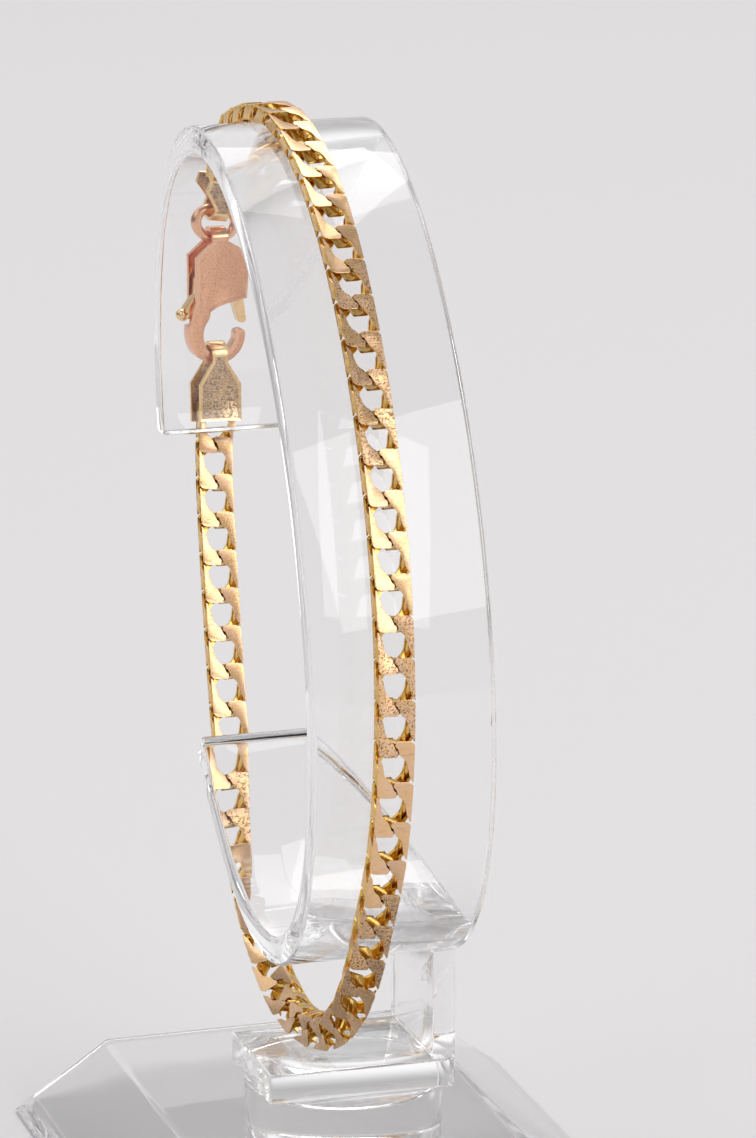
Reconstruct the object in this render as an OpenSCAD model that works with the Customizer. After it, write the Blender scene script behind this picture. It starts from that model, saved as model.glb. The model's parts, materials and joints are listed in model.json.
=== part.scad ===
// Curb link bracelet with a sprung hook clasp, hung on a clear C-shaped display band on a low clear stand

/* [Curb links] */
// Distance from one link to the next along the chain
link_pitch = 2.9; // [2.85:0.01:2.95]
// Half length of a link's centre line
link_half_length = 1.82; // [1.8:0.01:1.84]
// Half width of a link's centre line
link_half_width = 1.08; // [1.06:0.01:1.1]
// Thickness of the chain between its two filed flats
link_thickness = 1.2; // [1.1:0.05:1.3]
// Width of the chain across its filed sides
link_width = 2.76; // [2.7:0.02:2.8]
// Half thickness of a link's strip at its sides
strip_side = 0.24; // [0.22:0.01:0.25]
// Half thickness of a link's strip at its ends
strip_end = 0.23; // [0.2:0.01:0.25]
// Half width of a link's strip at its sides
strip_side_width = 0.73; // [0.7:0.01:0.75]
// Half width of a link's strip at its ends
strip_end_width = 0.42; // [0.38:0.01:0.44]
// Turn of a link's ends about the chain, in degrees
link_twist = 52.5; // [50:0.5:55]

/* [End tabs] */
// Width of a tab at its open end
tab_width = 3.2; // [2.9:0.05:3.4]
// Width of a tab's neck
tab_neck = 1.15; // [0.9:0.05:1.2]
// Thickness of the folded sheet
tab_sheet = 0.3; // [0.2:0.05:0.35]
// Gap between the two leaves
tab_slot = 1.6; // [1.55:0.05:1.65]
// Diameter of the bar that a tab's last link turns on
tab_bar = 0.5; // [0.4:0.05:0.6]
// How far the last link's middle stands out of its tab
tab_reach = 0.6; // [0.5:0.05:0.7]
// Length of a tab's narrow part below its loop
tab_throat = 0.5; // [0.4:0.05:0.6]
// Length over which a tab widens
tab_taper = 1.75; // [1.6:0.05:1.9]

/* [Jump ring] */
// Radius of the ring's centre line
ring_radius = 1.38; // [1.36:0.01:1.45]
// Diameter of the ring's wire
ring_wire = 0.72; // [0.6:0.02:0.74]

/* [Clasp] */
// Length of the clasp from its neck's top to the hook's lowest point
clasp_length = 10.95; // [10.9:0.01:11]
// How far the clasp hangs behind the band's centre
clasp_back = 23.15; // [23.1:0.05:23.2]
// Height of its neck's top above the band's centre
clasp_up = 19.4; // [19.3:0.05:19.5]
// Thickness of the clasp over both plates
clasp_depth = 1.9; // [1.85:0.05:2.1]
// Thickness of a plate
clasp_sheet = 0.35; // [0.3:0.01:0.38]
// Width of the clasp's neck
clasp_neck = 1.15; // [1:0.05:1.2]
// Thickness of the hook
hook_depth = 1.1; // [0.9:0.05:1.15]
// Thickness of the lever
lever_depth = 0.9; // [0.7:0.05:0.95]
// Diameter of the lever's pin
pin_d = 0.8; // [0.6:0.05:1]
// Radius of the lever round its pin
lever_hub = 0.95; // [0.85:0.05:1]
// Diameter of the lever's thumb knob
knob_d = 1.04; // [0.9:0.02:1.06]

/* [Display band] */
// Half length of the band's oval
band_a = 31.2; // [30.5:0.1:32]
// Half width of the band's oval
band_b = 18.6; // [18:0.1:19]
// Thickness of the band's wall
band_wall = 2.1; // [1.5:0.1:3]
// Width of the band
band_width = 13.5; // [10:0.5:16]
// Lean of the oval's long axis towards the back
band_lean = 25.4; // [24:0.2:27]
// Angle of the mouth's upper end on the oval
mouth_top = 23; // [20:1:26]
// Angle of the mouth's lower end on the oval
mouth_bottom = 24; // [20:1:28]

/* [Stand] */
// How much wider the plate under the post is than the band
plate_lip = 0.7; // [0:0.1:2]
// Depth of the plate and of the post
plate_d = 10.4; // [9:0.2:12]
// Thickness of the plate
plate_t = 2.3; // [1.5:0.1:3]
// Thickness of the post
post_t = 1.8; // [1.2:0.1:2.5]
// Room between the band's lowest point and the plate
post_gap = 7.8; // [7.6:0.1:8.4]
// How much wider the disc is than the plate
disc_lip = 0.5; // [0:0.1:1.5]
// How far the plate's middle stands in front of the band's
plate_front = 7; // [6.5:0.1:7.5]
// Height of the disc
disc_h = 6; // [3:0.5:10]
// Width of the riser's top
riser_top = 24.7; // [22:0.1:30]
// Depth of the riser
riser_depth = 56.1; // [46:0.1:70]
// How far the riser's back edge stands behind the band's centre
riser_back = 22; // [20:0.5:24]
// Thickness of the riser's sheet
riser_sheet = 1.3; // [1:0.1:2]
// Height of the riser's top
riser_h = 5.1; // [4:0.1:8]
// Angle of the riser's legs below level
riser_slope = 34; // [30:1:50]

/* [Hidden] */

// Room left between neighbouring links, and between metal and stand
clear = 0.15;
// Overlap of shapes joined in one piece
weld = 0.05;
round_fn = 48;

// Levels of the stand, from the feet up
plate_z = riser_h + disc_h;
band_low = plate_z + plate_t + post_gap;
band_drop = sqrt(pow(band_b * sin(band_lean), 2) + pow(band_a * cos(band_lean), 2));
band_x = -1.25;
band_y = 5;
band_z = band_low + band_drop;
plate_w = band_width + plate_lip;
disc_d = plate_w + disc_lip;
// The band, the post and the plate are flush on one side
post_x = band_x + (band_width - post_t) / 2;
plate_x = band_x - plate_lip / 2;
plate_y = band_y - plate_front;

// The chain's plane: its place across the band, and how that runs with depth and height
chain_x = -1.6;
chain_x_by_y = -0.0375;
chain_x_by_z = 0.0388;

// Chosen points of the hanging chain, from the centre of a band of the half length drawn_band:
// depth, height, turn and shift across
drawn_band = 31.2;
over_the_back = [
    [21.55, 23.5, 0, 0.8],
    [21.1, 24.6, 0, 0.75],
    [20.25, 25.8, 0, 0.65],
    [19.25, 26.85, 0, 0.5],
    [18.05, 27.65, 0, 0.35],
    [16.75, 28.25, 0, 0.2],
    [14, 29.1, 0, 0.05]];
under_and_up = [
    [-18.8, -25.4, 6, 0],
    [-17.4, -28.1, 16, 0],
    [-15.8, -30.6, 30, 0],
    [-13.7, -32.8, 46, 0],
    [-11.1, -34.4, 62, 0],
    [-8.3, -35.3, 79, -0.1],
    [-5.4, -35.6, 97, -0.2],
    [-2.5, -35.5, 115, -0.1],
    [0.3, -35, 132, 0],
    [3, -34, 147, 0.1],
    [5.5, -32.6, 159, 0.1],
    [7.7, -30.8, 168, 0.1],
    [9.6, -28.6, 175, 0.1],
    [11.2, -26.2, 180, 0],
    [12.5, -23.6, 180, 0],
    [14.6, -18.5, 180, 0],
    [16.5, -13, 180, 0],
    [18.2, -7.6, 180, 0],
    [20, -2.4, 180, 0.1],
    [21.4, 1, 180, 0.3],
    [22, 3.2, 180, 0.5],
    [22.2, 4.9, 180, 0.6]];

// A point of the oval grown by some amount, as depth and height from the band's centre
function oval(angle, grow) =
    let (across = (band_b + grow) * cos(angle), along = (band_a + grow) * sin(angle))
    [across * cos(band_lean) + along * sin(band_lean), along * cos(band_lean) - across * sin(band_lean)];

function hung(rows) = [for (r = rows) [r[0] * band_a / drawn_band, r[1] * band_a / drawn_band, r[2], r[3]]];

chain_off = link_thickness / 2 + 1.5 * clear;
on_band = [for (angle = [97 : 10 : 247]) let (p = oval(angle, chain_off)) [p[0], p[1], 0, 0]];
route_rows = concat(hung(over_the_back), on_band, hung(under_and_up));
route = [for (r = route_rows)
    [band_x + chain_x + chain_x_by_y * r[0] + chain_x_by_z * r[1] + r[3], band_y + r[0], band_z + r[1], r[2]]];

// A smooth curve through rows of numbers, cut into steps
function smooth_row(a, b, c, d, t) =
    0.5 * (2 * b + (c - a) * t + (2 * a - 5 * b + 4 * c - d) * t * t + (3 * b - a - 3 * c + d) * t * t * t);
function smooth_open(rows, steps) =
    let (n = len(rows))
    [for (i = [0 : n - 2], k = [0 : steps - 1])
        smooth_row(rows[max(i - 1, 0)], rows[i], rows[i + 1], rows[min(i + 2, n - 1)], k / steps),
     rows[n - 1]];
function smooth_closed(rows, steps) =
    let (n = len(rows))
    [for (i = [0 : n - 1], k = [0 : steps - 1])
        smooth_row(rows[(i + n - 1) % n], rows[i], rows[(i + 1) % n], rows[(i + 2) % n], k / steps)];

function xyz(r) = [r[0], r[1], r[2]];
function unit(v) = v / norm(v);
// Sums of a list's items before each item, and of all of them
function running(v) =
    [for (i = 0, sum = 0; i <= len(v); sum = sum + (i < len(v) ? v[i] : 0), i = i + 1) sum];

path = smooth_open(route, 8);
path_steps = [for (i = [0 : len(path) - 2]) norm(xyz(path[i + 1]) - xyz(path[i]))];
path_at = running(path_steps);
path_length = path_at[len(path_steps)];
function along(s, c) = lookup(s, [for (i = [0 : len(path) - 1]) [path_at[i], path[i][c]]]);
function spot(s) = [along(s, 0), along(s, 1), along(s, 2)];

link_count = round(path_length / link_pitch);
link_step = path_length / link_count;

// A link's frame, from the joint before it to the joint after it: place, direction, width and outward face
function link_frame(i) =
    let (from = spot(i * link_step),
         to = spot((i + 1) * link_step),
         dir = unit(to - from),
         flat = unit([1, 0, 0] - dir * dir[0]),
         out = cross(dir, flat),
         turn = along((i + 0.5) * link_step, 3))
    [(from + to) / 2, dir, flat * cos(turn) + out * sin(turn), out * cos(turn) - flat * sin(turn)];

// The link's own shape: an oval strip, turned along its length and filed flat
loop_power = 4.1;
section_power = 2.25;
narrowing = 2.5;
twist_shape = 1.09;
link_stations = 16;
link_sides = 6;
fine = 4 * link_stations;

function spow(x, e) = sign(x) * pow(abs(x), e);
function tanh(x) = (exp(2 * x) - 1) / (exp(2 * x) + 1);
function limit(x, m) = min(max(x, -m), m);

loop_fine = [for (i = [0 : fine])
    [link_half_length * spow(cos(360 * i / fine), 2 / loop_power),
     link_half_width * spow(sin(360 * i / fine), 2 / loop_power)]];
loop_steps = [for (i = [0 : fine - 1]) norm(loop_fine[i + 1] - loop_fine[i])];
loop_at = running(loop_steps);
function loop_point(t) = [for (c = [0, 1])
    lookup(t * loop_at[fine], [for (i = [0 : fine]) [loop_at[i], loop_fine[i][c]]])];
function along_share(s) = pow(abs(s) / link_half_length, narrowing);

link_shape = [for (i = [0 : link_stations - 1])
    let (p = loop_point(i / link_stations),
         dir = unit(loop_point(((i + 1) % link_stations) / link_stations)
             - loop_point(((i + link_stations - 1) % link_stations) / link_stations)),
         share = along_share(p[0]),
         thick = strip_side + (strip_end - strip_side) * share,
         wide = strip_side_width + (strip_end_width - strip_side_width) * share)
    for (k = [0 : link_sides - 1])
        let (a = 360 * k / link_sides,
             out = thick * spow(cos(a), 2 / section_power),
             up = wide * spow(sin(a), 2 / section_power),
             s = p[0] + dir[1] * out,
             r = p[1] - dir[0] * out,
             turn = -link_twist * tanh(twist_shape * s / link_half_length) / tanh(twist_shape))
        [s,
         limit(r * cos(turn) - up * sin(turn), link_width / 2),
         limit(r * sin(turn) + up * cos(turn), link_thickness / 2)]];

function ring_faces(first) = [for (i = [0 : link_stations - 1], k = [0 : link_sides - 1])
    let (j = (i + 1) % link_stations, m = (k + 1) % link_sides,
         a = first + i * link_sides + k, b = first + i * link_sides + m,
         c = first + j * link_sides + m, d = first + j * link_sides + k)
    each [[a, b, c], [a, c, d]]];

module curb_chain() {
    per_link = link_stations * link_sides;
    points = [for (i = [0 : link_count - 1])
        let (f = link_frame(i))
        for (p = link_shape) f[0] + f[1] * p[0] + f[2] * p[1] + f[3] * p[2]];
    color("goldenrod")
        polyhedron(points = points, faces = [for (i = [0 : link_count - 1]) each ring_faces(i * per_link)]);
}

// A sheet folded into a loop at its narrow end, with its open end at the origin and its loop upwards
module folded_neck(width, gap, sheet) {
    rotate([0, 90, 0])
        linear_extrude(width, center = true)
            intersection() {
                difference() {
                    circle(d = gap + 2 * sheet, $fn = round_fn);
                    circle(d = gap, $fn = round_fn);
                }
                translate([-gap, 0])
                    square([2 * gap, 2 * gap + 4 * sheet], center = true);
            }
}

module standing_sheet(outline, from, thickness) {
    translate([0, from + thickness, 0])
        rotate([90, 0, 0])
            linear_extrude(thickness)
                polygon(outline);
}

// How far the neighbouring link's end would lie inside the tab
bar_inset = link_pitch - link_half_length - tab_reach;

// A tab from its open end to the inside of its loop
module tab(from, to) {
    way = unit(to - from);
    loop_z = norm(to - from) - tab_slot / 2;
    taper_z = loop_z - tab_throat;
    shoulder_z = taper_z - tab_taper;
    outline = [
        [-tab_width / 2, 0],
        [tab_width / 2, 0],
        [tab_width / 2, shoulder_z],
        [tab_neck / 2, taper_z],
        [tab_neck / 2, loop_z + weld],
        [-tab_neck / 2, loop_z + weld],
        [-tab_neck / 2, taper_z],
        [-tab_width / 2, shoulder_z]];
    translate(from)
        rotate([-asin(way[1]), atan2(way[0], way[2]), 0])
            union() {
                standing_sheet(outline, -tab_slot / 2 - tab_sheet, tab_sheet);
                standing_sheet(outline, tab_slot / 2, tab_sheet);
                translate([0, 0, loop_z])
                    folded_neck(tab_neck, tab_slot, tab_sheet);
                translate([0, 0, bar_inset])
                    rotate([0, 0, link_twist])
                        rotate([0, 90, 0])
                            cylinder(d = tab_bar, h = (tab_slot + tab_sheet) / sin(link_twist), center = true,
                                $fn = round_fn);
            }
}

first_link = link_frame(0);
last_link = link_frame(link_count - 1);

// The clasp's place is the top of its neck; the ring holds it, and its hook holds the lower tab
clasp_shift = -1.25;
clasp_at = [band_x + clasp_shift, band_y + clasp_back, band_z + clasp_up];
clasp_slot = clasp_depth - 2 * clasp_sheet;
function ring_reach(neck) = sqrt(pow(ring_radius - ring_wire / 2 - clear, 2) - pow(neck / 2, 2));
ring_at = clasp_at + [0, 0, ring_reach(clasp_neck) - clasp_sheet];
// The clasp's outlines are drawn for this length from the neck's top
drawn_clasp = 10.95;
clasp_scale = clasp_length / drawn_clasp;
hook_bar_at = clasp_scale * [-0.3, -10.1];
// The loop's round inside stays clear of the hook's square edges, and its sides of the hook's bend
hook_bend = 0.1;
hook_rise = tab_slot / 2 - sqrt(pow(tab_slot / 2, 2) - pow((hook_depth + clear) / 2, 2)) + clear + hook_bend;
hook_bar = clasp_at + [hook_bar_at[0], (hook_depth - clasp_depth + clear) / 2, hook_bar_at[1] + hook_rise];

module upper_tab() {
    color("goldenrod")
        tab(first_link[0] - first_link[1] * tab_reach,
            ring_at + [0, clear / 2, ring_reach(tab_neck) - clear / 2]);
}

module lower_tab() {
    color("goldenrod")
        tab(last_link[0] + last_link[1] * tab_reach, hook_bar);
}

module jump_ring() {
    color("tan")
        translate(ring_at)
            rotate([90, 0, 0])
                rotate_extrude($fn = round_fn)
                    translate([ring_radius, 0])
                        circle(d = ring_wire, $fn = round_fn / 2);
}

// Outlines of the clasp, from the top of its neck: across and down
neck_z = -clasp_depth / 2;
neck_low = -1.15;
plate_outline = concat([
    [-clasp_neck / 2, neck_z + weld],
    [-clasp_neck / 2, neck_low]],
    clasp_scale * [
    [-1.85, -2.45],
    [-1.95, -6.3],
    [-1, -6.9],
    [-0.3, -6.45],
    [0.4, -6.2],
    [1.05, -6.05],
    [1.95, -5.85],
    [2.05, -3.8],
    [1.5, -1.75]], [
    [clasp_neck / 2, neck_low],
    [clasp_neck / 2, neck_z + weld]]);
hook_outline = clasp_scale * smooth_closed([
    [-1.95, -6],
    [-2.3, -7.2],
    [-2.5, -8.4],
    [-2.3, -9.6],
    [-1.7, -10.5],
    [-0.6, -10.95],
    [0.5, -10.8],
    [1.3, -10.15],
    [1.7, -9.3],
    [1.75, -8.5],
    [1.4, -8.35],
    [1.05, -8.55],
    [0.95, -9.2],
    [0.5, -9.9],
    [-0.3, -10.1],
    [-1.05, -9.9],
    [-1.4, -8.9],
    [-1.3, -8],
    [-0.9, -7.2],
    [-0.9, -6.3],
    [-1.3, -5.9]], 4);
// The hook is thick below this level, and a part of the front plate above it
hook_top = -7.9 * clasp_scale;
pivot = clasp_scale * [0.1, -4.6];
gate_outline = clasp_scale * [
    [0.3, -3.7],
    [1.35, -4.3],
    [1.75, -5.6],
    [2, -7.7],
    [1.75, -7.95],
    [1.4, -7.8],
    [1, -6.2],
    [0.1, -5.2]];
arm_outline = clasp_scale * [
    [0, -3.7],
    [-1.2, -3.6],
    [-1.7, -4.2],
    [-1.8, -5.5],
    [-2.5, -6.5],
    [-2.75, -7.2],
    [-2.3, -7.4],
    [-1.8, -6.5],
    [-0.95, -5.5],
    [0, -5.4]];
knob_at = clasp_scale * [-2.6, -7.1];

module at_pivot() {
    translate([pivot[0], 0, pivot[1]])
        rotate([90, 0, 0])
            children();
}

module clasp_body() {
    color("tan")
        translate(clasp_at)
            union() {
                standing_sheet(plate_outline, -clasp_depth / 2, clasp_sheet);
                standing_sheet(plate_outline, clasp_slot / 2, clasp_sheet);
                translate([0, 0, neck_z])
                    folded_neck(clasp_neck, clasp_slot, clasp_sheet);
                standing_sheet(hook_outline, -clasp_depth / 2, clasp_sheet);
                intersection() {
                    standing_sheet(hook_outline, -clasp_depth / 2, hook_depth);
                    translate([0, 0, hook_top - clasp_length / 2])
                        cube(clasp_length, center = true);
                }
                at_pivot()
                    cylinder(d = pin_d, h = clasp_depth, center = true, $fn = round_fn);
            }
}

module clasp_lever() {
    color("gold")
        translate(clasp_at)
            difference() {
                union() {
                    standing_sheet(gate_outline, -lever_depth / 2, lever_depth);
                    standing_sheet(arm_outline, -lever_depth / 2, lever_depth);
                    at_pivot()
                        cylinder(r = lever_hub, h = lever_depth, center = true, $fn = round_fn);
                    translate([knob_at[0], 0, knob_at[1]])
                        sphere(d = knob_d, $fn = round_fn);
                }
                at_pivot()
                    cylinder(d = pin_d + 2 * clear, h = clasp_depth, center = true, $fn = round_fn);
            }
}

// The band's cross section, an oval open at the back
band_steps = 80;
function band_edge(grow) = [for (i = [0 : band_steps])
    oval(mouth_top + (360 - mouth_bottom - mouth_top) * i / band_steps, grow)];
function reversed(v) = [for (i = [len(v) - 1 : -1 : 0]) v[i]];

module across_sheet(outline, width) {
    rotate([90, 0, 90])
        linear_extrude(width, center = true)
            polygon(outline);
}

module display_band() {
    color("lightgray", 0.4)
        translate([band_x, band_y, band_z])
            across_sheet(concat(band_edge(0), reversed(band_edge(-band_wall))), band_width);
}

// The post's top follows the band's underside
module stand_post() {
    color("lightgray", 0.4)
        difference() {
            translate([post_x - post_t / 2, plate_y - plate_d / 2, plate_z + plate_t])
                cube([post_t, plate_d, band_drop / 2]);
            translate([band_x, band_y, band_z])
                across_sheet([for (i = [0 : band_steps - 1]) oval(360 * i / band_steps, 0)], 2 * plate_w);
        }
}

module stand_plate() {
    color("lightgray", 0.4)
        translate([plate_x - plate_w / 2, plate_y - plate_d / 2, plate_z])
            cube([plate_w, plate_d, plate_t]);
}

module stand_disc() {
    color("lightgray", 0.4)
        translate([plate_x, plate_y, riser_h])
            cylinder(d = disc_d, h = disc_h, $fn = 2 * round_fn);
}

module riser() {
    rise = riser_h;
    run = rise / tan(riser_slope);
    foot = riser_sheet / sin(riser_slope);
    outline = [
        [-riser_top / 2 - run, 0],
        [-riser_top / 2 - run + foot, 0],
        [-riser_top / 2 + riser_sheet * tan(riser_slope / 2), rise - riser_sheet],
        [riser_top / 2 - riser_sheet * tan(riser_slope / 2), rise - riser_sheet],
        [riser_top / 2 + run - foot, 0],
        [riser_top / 2 + run, 0],
        [riser_top / 2, rise],
        [-riser_top / 2, rise]];
    color("lightgray", 0.4)
        standing_sheet(outline, band_y + riser_back - riser_depth, riser_depth);
}

curb_chain();
lower_tab();
upper_tab();
jump_ring();
clasp_body();
clasp_lever();
display_band();
stand_post();
stand_plate();
stand_disc();
riser();
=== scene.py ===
"""Curb link bracelet with a sprung hook clasp on a clear display band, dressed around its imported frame."""
from __future__ import annotations

import json
import logging
import math
from bisect import bisect_right
from dataclasses import dataclass
from enum import Enum

import bmesh
import bpy
from mathutils import Matrix, Vector

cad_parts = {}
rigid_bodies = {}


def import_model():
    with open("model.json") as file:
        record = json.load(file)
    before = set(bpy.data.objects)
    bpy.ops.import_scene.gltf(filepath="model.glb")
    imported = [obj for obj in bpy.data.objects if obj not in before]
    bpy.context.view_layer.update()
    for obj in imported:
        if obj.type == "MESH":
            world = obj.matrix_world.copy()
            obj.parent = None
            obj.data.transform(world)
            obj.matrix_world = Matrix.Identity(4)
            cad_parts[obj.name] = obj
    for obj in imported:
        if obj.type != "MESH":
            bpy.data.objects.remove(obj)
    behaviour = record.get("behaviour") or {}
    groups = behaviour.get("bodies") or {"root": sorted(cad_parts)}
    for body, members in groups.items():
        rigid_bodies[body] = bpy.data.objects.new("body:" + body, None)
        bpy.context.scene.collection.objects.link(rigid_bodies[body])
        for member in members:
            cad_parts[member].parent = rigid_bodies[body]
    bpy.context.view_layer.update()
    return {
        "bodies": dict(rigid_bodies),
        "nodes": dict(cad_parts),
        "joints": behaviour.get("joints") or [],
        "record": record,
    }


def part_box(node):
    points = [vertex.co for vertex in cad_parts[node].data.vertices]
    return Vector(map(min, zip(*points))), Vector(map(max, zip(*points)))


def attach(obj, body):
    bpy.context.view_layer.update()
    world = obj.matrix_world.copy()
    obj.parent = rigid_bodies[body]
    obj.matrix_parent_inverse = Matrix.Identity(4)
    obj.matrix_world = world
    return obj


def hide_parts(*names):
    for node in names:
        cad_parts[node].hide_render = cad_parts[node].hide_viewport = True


MM = 0.001
NEARLY_ZERO = 1e-9

# The angles, in degrees, past which an edge counts as a bend, is rounded, and stays sharp in the shading
FLAT_DEGREES = 1.0
SHARP_DEGREES = 28.0
SHADE_DEGREES = 38.0
# Faces lie in one plane where the product of their normals is above this
SAME_PLANE = 0.9999
# The least area of a side that gets a sloped border, in square millimetres
WIDE_SIDE = 6.0
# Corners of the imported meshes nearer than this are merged, in millimetres
MERGE_DISTANCE = 0.002

LOG = logging.getLogger("bracelet")


class Body(Enum):
    """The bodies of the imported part."""

    WHOLE = "bracelet_and_stand"
    LEVER = "lever"


class Slot(Enum):
    """The record's material slots."""

    CHAIN = "chain_gold"
    CLASP = "clasp_gold"
    ACRYLIC = "clear_acrylic"


def smooth_value(a: float, b: float, c: float, d: float, t: float) -> float:
    """A value on the smooth curve between b and c.

    Args:
        a: The value before b.
        b: The value where the stretch starts.
        c: The value where the stretch ends.
        d: The value after c.
        t: Place on the stretch, from 0 to 1.

    Returns:
        The value at t.
    """
    square = 2 * a - 5 * b + 4 * c - d
    cube = 3 * b - a - 3 * c + d
    return 0.5 * (2 * b + (c - a) * t + square * t * t + cube * t ** 3)


def signed_power(value: float, power: float) -> float:
    """The value's size raised to a power, with the value's sign."""
    return math.copysign(abs(value) ** power, value)


@dataclass(frozen=True)
class Route:
    """The line that the chain hangs on, in millimetres, from the tab at the back round to the hook's tab."""

    pitch: float = 2.9
    band_long: float = 31.2
    band_short: float = 18.6
    band_lean: float = 25.4
    band_centre: tuple[float, float, float] = (-1.25, 5.0, 50.4915)
    off_band: float = 0.825
    first_angle: int = 97
    last_angle: int = 247
    angle_step: int = 10
    plane_at: float = -1.6
    plane_by_depth: float = -0.0375
    plane_by_height: float = 0.0388
    steps: int = 8
    over_the_back: tuple[tuple[float, float, float, float], ...] = (
        (21.55, 23.5, 0, 0.8), (21.1, 24.6, 0, 0.75), (20.25, 25.8, 0, 0.65), (19.25, 26.85, 0, 0.5),
        (18.05, 27.65, 0, 0.35), (16.75, 28.25, 0, 0.2), (14, 29.1, 0, 0.05))
    under_and_up: tuple[tuple[float, float, float, float], ...] = (
        (-18.8, -25.4, 6, 0), (-17.4, -28.1, 16, 0), (-15.8, -30.6, 30, 0), (-13.7, -32.8, 46, 0),
        (-11.1, -34.4, 62, 0), (-8.3, -35.3, 79, -0.1), (-5.4, -35.6, 97, -0.2), (-2.5, -35.5, 115, -0.1),
        (0.3, -35, 132, 0), (3, -34, 147, 0.1), (5.5, -32.6, 159, 0.1), (7.7, -30.8, 168, 0.1),
        (9.6, -28.6, 175, 0.1), (11.2, -26.2, 180, 0), (12.5, -23.6, 180, 0), (14.6, -18.5, 180, 0),
        (16.5, -13, 180, 0), (18.2, -7.6, 180, 0), (20, -2.4, 180, 0.1), (21.4, 1, 180, 0.3),
        (22, 3.2, 180, 0.5), (22.2, 4.9, 180, 0.6))

    def band_point(self, angle: float) -> tuple[float, float, float, float]:
        """A point of the chain's line on the band.

        Args:
            angle: Place on the oval, in degrees.

        Returns:
            Depth, height, turn and shift across, from the band's centre.
        """
        lean = math.radians(self.band_lean)
        across = (self.band_short + self.off_band) * math.cos(math.radians(angle))
        along = (self.band_long + self.off_band) * math.sin(math.radians(angle))
        depth = across * math.cos(lean) + along * math.sin(lean)
        height = along * math.cos(lean) - across * math.sin(lean)
        return depth, height, 0, 0

    def rows(self) -> list[tuple[float, float, float, float]]:
        """The line's points.

        Returns:
            The points in the part's frame, each with the chain's turn in degrees.
        """
        angles = range(self.first_angle, self.last_angle + 1, self.angle_step)
        on_band = [self.band_point(angle) for angle in angles]
        x, y, z = self.band_centre
        placed = []
        for depth, height, turn, shift in (*self.over_the_back, *on_band, *self.under_and_up):
            plane = self.plane_at + self.plane_by_depth * depth + self.plane_by_height * height
            placed.append((x + plane + shift, y + depth, z + height, turn))
        return placed

    def line(self) -> tuple[list[float], list[tuple[float, ...]]]:
        """The smooth line cut into short steps.

        Returns:
            The length up to each point, and the points with their turn.
        """
        rows = self.rows()
        last = len(rows) - 1
        points = []
        for i in range(last):
            around = (rows[max(i - 1, 0)], rows[i], rows[i + 1], rows[min(i + 2, last)])
            for k in range(self.steps):
                points.append(tuple(smooth_value(*column, k / self.steps) for column in zip(*around)))
        points.append(rows[last])
        lengths = [0.0]
        for a, b in zip(points, points[1:]):
            lengths.append(lengths[-1] + (Vector(b[:3]) - Vector(a[:3])).length)
        return lengths, points

    def link_frames(self) -> list[Matrix]:
        """The place of each link.

        Returns:
            For each link, the matrix from its own along, width and thickness, in millimetres, to the
            part's frame.
        """
        lengths, points = self.line()

        def spot(s: float) -> tuple[float, ...]:
            """The line's point at length s."""
            i = min(max(bisect_right(lengths, s) - 1, 0), len(lengths) - 2)
            t = (s - lengths[i]) / (lengths[i + 1] - lengths[i])
            return tuple(a + (b - a) * t for a, b in zip(points[i], points[i + 1]))

        count = round(lengths[-1] / self.pitch)
        step = lengths[-1] / count
        frames = []
        for i in range(count):
            start = Vector(spot(i * step)[:3])
            end = Vector(spot((i + 1) * step)[:3])
            turn = math.radians(spot((i + 0.5) * step)[3])
            along = (end - start).normalized()
            flat = (Vector((1, 0, 0)) - along * along.x).normalized()
            out = along.cross(flat)
            width = flat * math.cos(turn) + out * math.sin(turn)
            face = out * math.cos(turn) - flat * math.sin(turn)
            place = Matrix.Translation((start + end) / 2 * MM)
            axes = Matrix((along, width, face)).transposed().to_4x4()
            frames.append(place @ axes @ Matrix.Scale(MM, 4))
        return frames


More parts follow.
